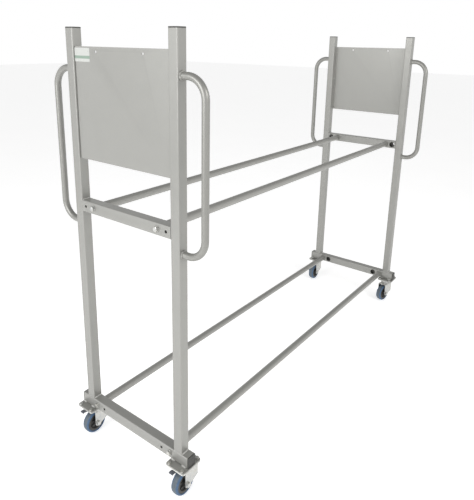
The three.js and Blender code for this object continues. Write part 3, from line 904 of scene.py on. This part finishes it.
def make_pedal(place, matrix):
    """The brake pedal: a pressed tread plate with a turned-down lip, on its barrel and pin."""
    node = place + "_brake_pedal"
    low_y, high_y = PEDAL_SIDES
    line = [(0, 0), (-14, 2.2), (-26, 6.2), (-36, 9.2), (-43, 10.0), (-46.6, 9.0), (-47.9, 6.6)]
    upper, lower = [], []
    for (x0, z0), (x1, z1) in zip(line, line[1:] + [(-PEDAL_REACH, 5.0)]):
        across = Vector((x1 - x0, z1 - z0)).normalized().orthogonal() * PEDAL_HALF_SHEET
        upper.append((x0 - across.x, z0 - across.y))
        lower.append((x0 + across.x, z0 + across.y))
    outline = [(max(x, -PEDAL_REACH) * MM, z * MM) for x, z in upper + lower[::-1]]
    bm = bmesh.new()
    loft(bm, [[(x, y, z) for x, z in outline] for y in (low_y, high_y)])
    for k in range(4):
        at = (-20 - 6 * k) * MM
        rise = (5.6 + 1.6 * k) * MM
        cylinder(bm, 0.9 * MM, "y", low_y + 3 * MM, high_y - 3 * MM, (at, 0, rise), 12, 0.4 * MM)
    cylinder(bm, 4.5 * MM, "y", -22 * MM, 22 * MM, ORIGIN, 32, 0.6 * MM)
    obj = new_object(node + "_plate", bm)
    piece(obj, PEDAL, place + "_brake", "pedal_paint", node, matrix=matrix)
    bm = bmesh.new()
    reach = FORK_OUTSIDE + 3 * MM
    cylinder(bm, 3 * MM, "y", -reach, reach, ORIGIN, 24, 0.7 * MM)
    piece(new_object(node + "_pin", bm), ZINC, place + "_brake", "zinc", matrix=matrix)


def make_castor(end, side):
    """One castor, placed by its joints and turned the way its axle lies."""
    place = f"{end}_{side}"
    swivel = Vector(JOINTS[place + "_swivel"]["pos_m"])
    axis = JOINTS[place + "_wheel_spin"]["axis"]
    turn = -math.atan2(axis[0], axis[1])
    castor = Matrix.Translation((swivel.x, swivel.y, 0)) @ Matrix.Rotation(turn, 4, "Z")
    wheel = castor @ Matrix.Translation((-SWIVEL_TO_AXLE, 0, AXLE_HEIGHT))
    braked = end == "front"
    make_pad(place)
    make_fork(place, castor, braked)
    make_wheel(place, wheel)
    make_axle(place, wheel)
    if braked:
        pivot = Vector(JOINTS[place + "_brake_press"]["pos_m"])
        make_pedal(place, Matrix.Translation(pivot) @ Matrix.Rotation(turn, 4, "Z"))


# ---- the rack -----------------------------------------------------------------------------

for end, outward in ENDS.items():
    make_beam(f"{end}_base_beam", outward)
    make_beam(f"{end}_mid_beam", outward)
    make_panel(f"{end}_end_panel", outward)
    make_frame_welds(end)
    for side, sign in SIDES.items():
        make_upright(f"{end}_{side}_upright")
        make_cap(f"{end}_{side}_top_cap", "z", 1)
        make_cap(f"{end}_{side}_base_cap", "y", sign)
        make_handle(f"{end}_{side}_handle", sign)
        make_castor(end, side)
        for level in ("lower", "upper"):
            make_rail_bolt(f"{end}_{side}_{level}_rail_bolt", outward)
for level in ("lower", "upper"):
    for side in SIDES:
        make_rail(f"{level}_{side}_rail")
make_label()

# ---- stage, light and camera --------------------------------------------------------------

FLOOR_HALF_WIDTH = 30
FLOOR_GLOW = 0.47
CAMERA_PLACE = (-2.1709, -1.3471, 1.6507)
CAMERA_ANGLES = (37.393, -15.342, 0.978)  # yaw from +x towards +y, pitch and roll, in degrees
CAMERA_LENS = 39.361
CAMERA_SHIFT = (0.01622, -0.14093)


def make_floor():
    """A wide pale floor that glows a little, so that it comes out nearly white."""
    bm = bmesh.new()
    bmesh.ops.create_grid(bm, x_segments=1, y_segments=1, size=FLOOR_HALF_WIDTH)
    floor = new_object("floor", bm)
    n = Nodes("pale_floor")
    colour = n.ramp(n.noise(1.5, 3.0), [(0.3, 0.90), (0.7, 0.92)])
    roughness = n.ramp(n.noise(3.0, 2.0), [(0.3, 0.85), (0.7, 0.95)])
    normal = n.bump(n.noise(60.0, 2.0), 0.0001, 0.1)
    n.shader.inputs["Emission Color"].default_value = (1, 1, 1, 1)
    n.shader.inputs["Emission Strength"].default_value = FLOOR_GLOW
    floor.data.materials.append(n.done(colour, roughness, normal))


def area_light(name, place, target, size, watts, colour=(1, 1, 1)):
    """A rectangular soft light at place, facing target."""
    light = bpy.data.lights.new(name, "AREA")
    light.shape = "RECTANGLE"
    light.size, light.size_y = size
    light.energy = watts
    light.color = colour
    obj = bpy.data.objects.new(name, light)
    bpy.context.scene.collection.objects.link(obj)
    obj.location = place
    obj.rotation_euler = (Vector(target) - Vector(place)).to_track_quat("-Z", "Y").to_euler()


def make_world(overhead):
    """White light all round, fading to the grey called overhead towards the top."""
    world = bpy.data.worlds.new("studio")
    bpy.context.scene.world = world
    world.use_nodes = True
    tree = world.node_tree
    background = tree.nodes["Background"]
    direction = tree.nodes.new("ShaderNodeTexCoord").outputs["Generated"]
    split = tree.nodes.new("ShaderNodeSeparateXYZ")
    tree.links.new(direction, split.inputs[0])
    ramp = tree.nodes.new("ShaderNodeValToRGB")
    for element, (position, grey) in zip(ramp.color_ramp.elements, ((0.16, 1.0), (0.50, overhead))):
        element.position = position
        element.color = (grey, grey, grey, 1)
    tree.links.new(split.outputs[2], ramp.inputs["Fac"])
    tree.links.new(ramp.outputs["Color"], background.inputs["Color"])


def make_camera():
    """The photograph's viewpoint: a place, a direction and a lens shift."""
    yaw, pitch, roll = (math.radians(angle) for angle in CAMERA_ANGLES)
    ahead = Vector((math.cos(pitch) * math.cos(yaw), math.cos(pitch) * math.sin(yaw), math.sin(pitch)))
    level = Vector((math.sin(yaw), -math.cos(yaw), 0))
    rise = level.cross(ahead)
    right = math.cos(roll) * level + math.sin(roll) * rise
    up = -math.sin(roll) * level + math.cos(roll) * rise
    camera = bpy.data.cameras.new("camera")
    camera.sensor_fit = "HORIZONTAL"
    camera.sensor_width = 36
    camera.lens = CAMERA_LENS
    camera.shift_x, camera.shift_y = CAMERA_SHIFT
    obj = bpy.data.objects.new("camera", camera)
    bpy.context.scene.collection.objects.link(obj)
    rotation = Matrix((right, up, -ahead)).transposed().to_4x4()
    obj.matrix_world = Matrix.Translation(CAMERA_PLACE) @ rotation
    bpy.context.scene.camera = obj


make_floor()
make_world(0.42)
area_light("front_light", (-4.2, 0.6, 2.2), (-0.8, 0, 0.9), (2.4, 2.4), 90)
area_light("right_light", (-0.6, -4.2, 3.2), (-0.6, 0, 1.5), (3.0, 1.6), 85, (1.0, 0.985, 0.96))
make_camera()
bpy.context.scene.view_settings.view_transform = "Standard"
